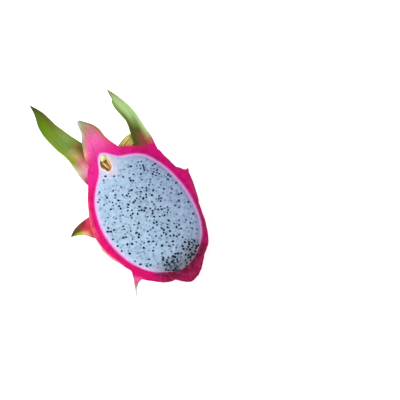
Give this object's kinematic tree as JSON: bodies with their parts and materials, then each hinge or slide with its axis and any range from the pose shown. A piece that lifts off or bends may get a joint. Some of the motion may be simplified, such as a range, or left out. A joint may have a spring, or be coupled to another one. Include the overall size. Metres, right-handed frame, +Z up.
{
  "type": "dragon fruit half",
  "caption": "White-fleshed dragon fruit cut in half lengthwise, lying on its back: pink scaled rind with green-tipped leafy scales round seeded flesh.",
  "frame": {"origin": "middle of the small flat spot that the half fruit rests on", "axes": "+Z up out of the cut face, +Y along the fruit from the stalk end to the flower end, +X across the cut face"},
  "size_m": [0.1042, 0.1913, 0.0477],
  "materials": {
    "rind": "waxy pink skin, green towards the tips of the scales",
    "flesh": "moist white flesh with small black seeds",
    "core": "dry brown strand with a cream rim",
    "withered_flower": "dried yellow petals, brown at the edges"
  },
  "bodies": {
    "root": {"rind": "rind", "flesh": "flesh", "core": "core", "withered_flower": "withered_flower"}
  },
  "joints": []
}
